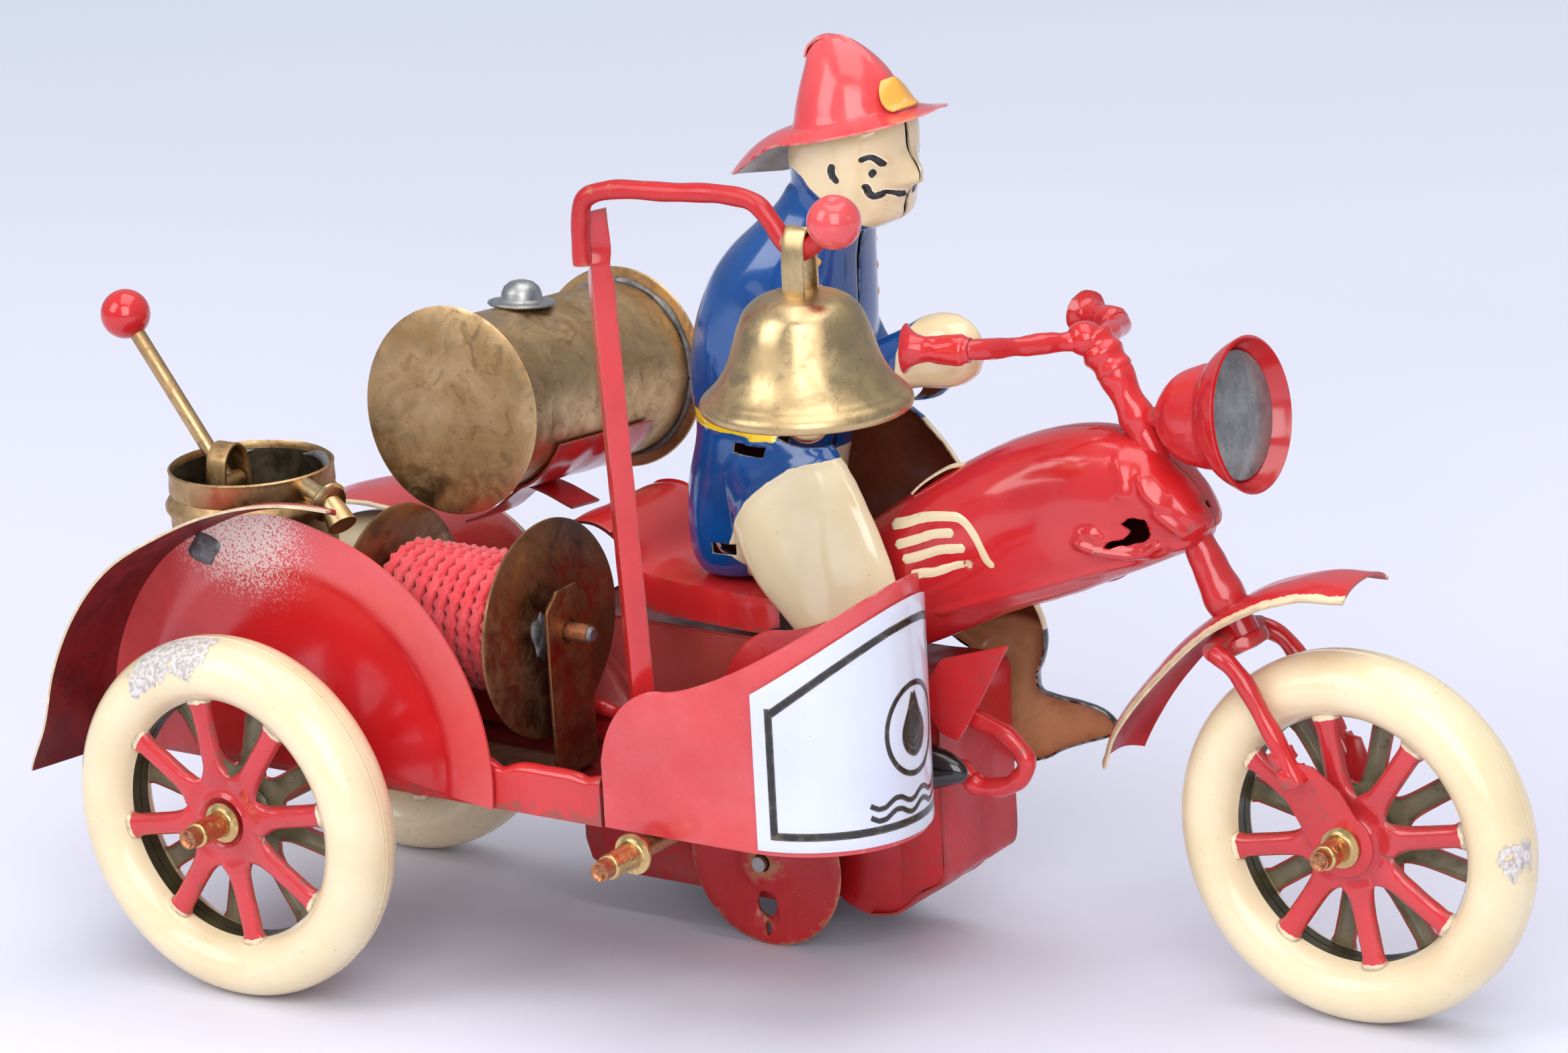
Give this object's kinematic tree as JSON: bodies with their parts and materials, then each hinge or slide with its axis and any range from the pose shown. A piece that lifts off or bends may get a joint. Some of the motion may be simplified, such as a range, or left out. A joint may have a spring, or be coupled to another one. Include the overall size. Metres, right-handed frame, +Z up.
{
  "type": "wind-up toy motorcycle with sidecar",
  "caption": "Pressed-tin wind-up motorcycle with a rider, a water tank and a sidecar that carries a bell, a hose reel and a pump can; the wheels, fork, bell and lever move.",
  "frame": {"origin": "bottom centre of the bounding box, on the ground plane", "axes": "+X towards the front wheel, +Y to the rider's left, away from the sidecar, +Z up"},
  "size_m": [0.2892, 0.1292, 0.1748],
  "materials": {
    "red_paint": "glossy red enamel on pressed tin, faint orange peel, chipped at cut edges",
    "helmet_paint": "satin red outside, off-white inside the brim",
    "cream_paint": "glossy cream enamel tyres, red spokes and hub on the outer face",
    "rider_paint": "glossy blue jacket, cream breeches and face, black boots, brown inside",
    "white_paint": "printed white plate with a black border",
    "badge_paint": "orange-yellow enamel",
    "aged_brass": "mottled aged brass",
    "bell_brass": "spun brass, lightly tarnished",
    "axle_brass": "copper-coloured brass pins with pressed brass caps",
    "reel_bronze": "dark brown patina",
    "rope": "braided red cord",
    "steel": "plain dull steel"
  },
  "bodies": {
    "root": {"body_shell_right": "red_paint", "body_shell_left": "red_paint", "seat": "red_paint", "motor_cowl": "red_paint", "front_plate": "red_paint", "rear_fender": "red_paint", "tank_cradle": "red_paint", "crash_bar": "red_paint", "guard_plate": "red_paint", "sidecar_tray": "red_paint", "sidecar_nose": "red_paint", "wheel_panel": "red_paint", "sidecar_fender": "red_paint", "bell_post": "red_paint", "bell_arm": "red_paint", "helmet": "helmet_paint", "rider_shell_right": "rider_paint", "rider_shell_left": "rider_paint", "sign_plate": "white_paint", "helmet_badge": "badge_paint", "tank_barrel": "aged_brass", "tank_end_right": "aged_brass", "tank_end_left": "aged_brass", "can": "aged_brass", "can_strap": "aged_brass", "rear_axle": "axle_brass", "sidecar_axle": "axle_brass", "crossbar": "axle_brass", "reel_bracket": "reel_bronze", "motor_plate_right": "steel", "motor_plate_left": "steel", "filler_cap": "steel"},
    "fork": {"fork_stem": "red_paint", "fork_leg_right": "red_paint", "fork_leg_left": "red_paint", "front_fender": "red_paint", "front_axle": "axle_brass", "handlebar": "red_paint", "headlight_bowl": "red_paint", "headlight_lens": "steel"},
    "front_wheel": {"front_wheel_right": "cream_paint", "front_wheel_left": "cream_paint"},
    "rear_wheel": {"rear_wheel_right": "cream_paint", "rear_wheel_left": "cream_paint"},
    "sidecar_wheel": {"sidecar_wheel_right": "cream_paint", "sidecar_wheel_left": "cream_paint"},
    "drive": {"drive_axle": "steel", "drive_disc_right": "red_paint", "drive_disc_left": "red_paint"},
    "winding": {"winding_arbor": "steel", "great_wheel": "bell_brass", "mainspring": "steel", "winding_key": "steel"},
    "bell": {"bell_cup": "bell_brass"},
    "clapper": {"clapper": "bell_brass"},
    "reel": {"reel_axle": "steel", "reel_flange_front": "reel_bronze", "reel_flange_rear": "reel_bronze", "hose_rope": "rope"},
    "lever": {"pump_lever": "red_paint"}
  },
  "joints": [
    {"name": "steering", "type": "hinge", "parent": "root", "child": "fork", "pos_m": [0.08525, 0.0296, 0.074], "axis": [-0.473, 0, 0.8811], "range_deg": [-9, 9]},
    {"name": "front_wheel_spin", "type": "hinge", "parent": "fork", "child": "front_wheel", "pos_m": [0.10965, 0.0296, 0.035], "axis": [0, 1, 0], "continuous": true},
    {"name": "rear_wheel_spin", "type": "hinge", "parent": "root", "child": "rear_wheel", "pos_m": [-0.10475, 0.0296, 0.035], "axis": [0, 1, 0], "continuous": true},
    {"name": "sidecar_wheel_spin", "type": "hinge", "parent": "root", "child": "sidecar_wheel", "pos_m": [-0.08465, -0.0499, 0.035], "axis": [0, 1, 0], "continuous": true},
    {"name": "winding_spin", "type": "hinge", "parent": "root", "child": "winding", "pos_m": [-0.02955, 0.0296, 0.029], "axis": [0, 1, 0], "continuous": true},
    {"name": "drive_spin", "type": "hinge", "parent": "root", "child": "drive", "pos_m": [-0.00875, 0.0296, 0.017], "axis": [0, 1, 0], "continuous": true},
    {"name": "reel_spin", "type": "hinge", "parent": "root", "child": "reel", "pos_m": [-0.05475, -0.0124, 0.0672], "axis": [1, 0, 0], "continuous": true},
    {"name": "bell_swing", "type": "hinge", "parent": "root", "child": "bell", "pos_m": [0.03425, -0.0284, 0.15], "axis": [1, 0, 0], "range_deg": [-14, 14]},
    {"name": "clapper_swing", "type": "hinge", "parent": "bell", "child": "clapper", "pos_m": [0.03425, -0.0284, 0.1404], "axis": [1, 0, 0], "range_deg": [-30, 30]},
    {"name": "pump_lever_swing", "type": "hinge", "parent": "root", "child": "lever", "pos_m": [-0.10875, -0.0154, 0.088], "axis": [0, 1, 0], "range_deg": [-12, 6]}
  ],
  "couplings": [
    {"joint": "drive_spin", "follows": "winding_spin", "ratio": -3}
  ]
}
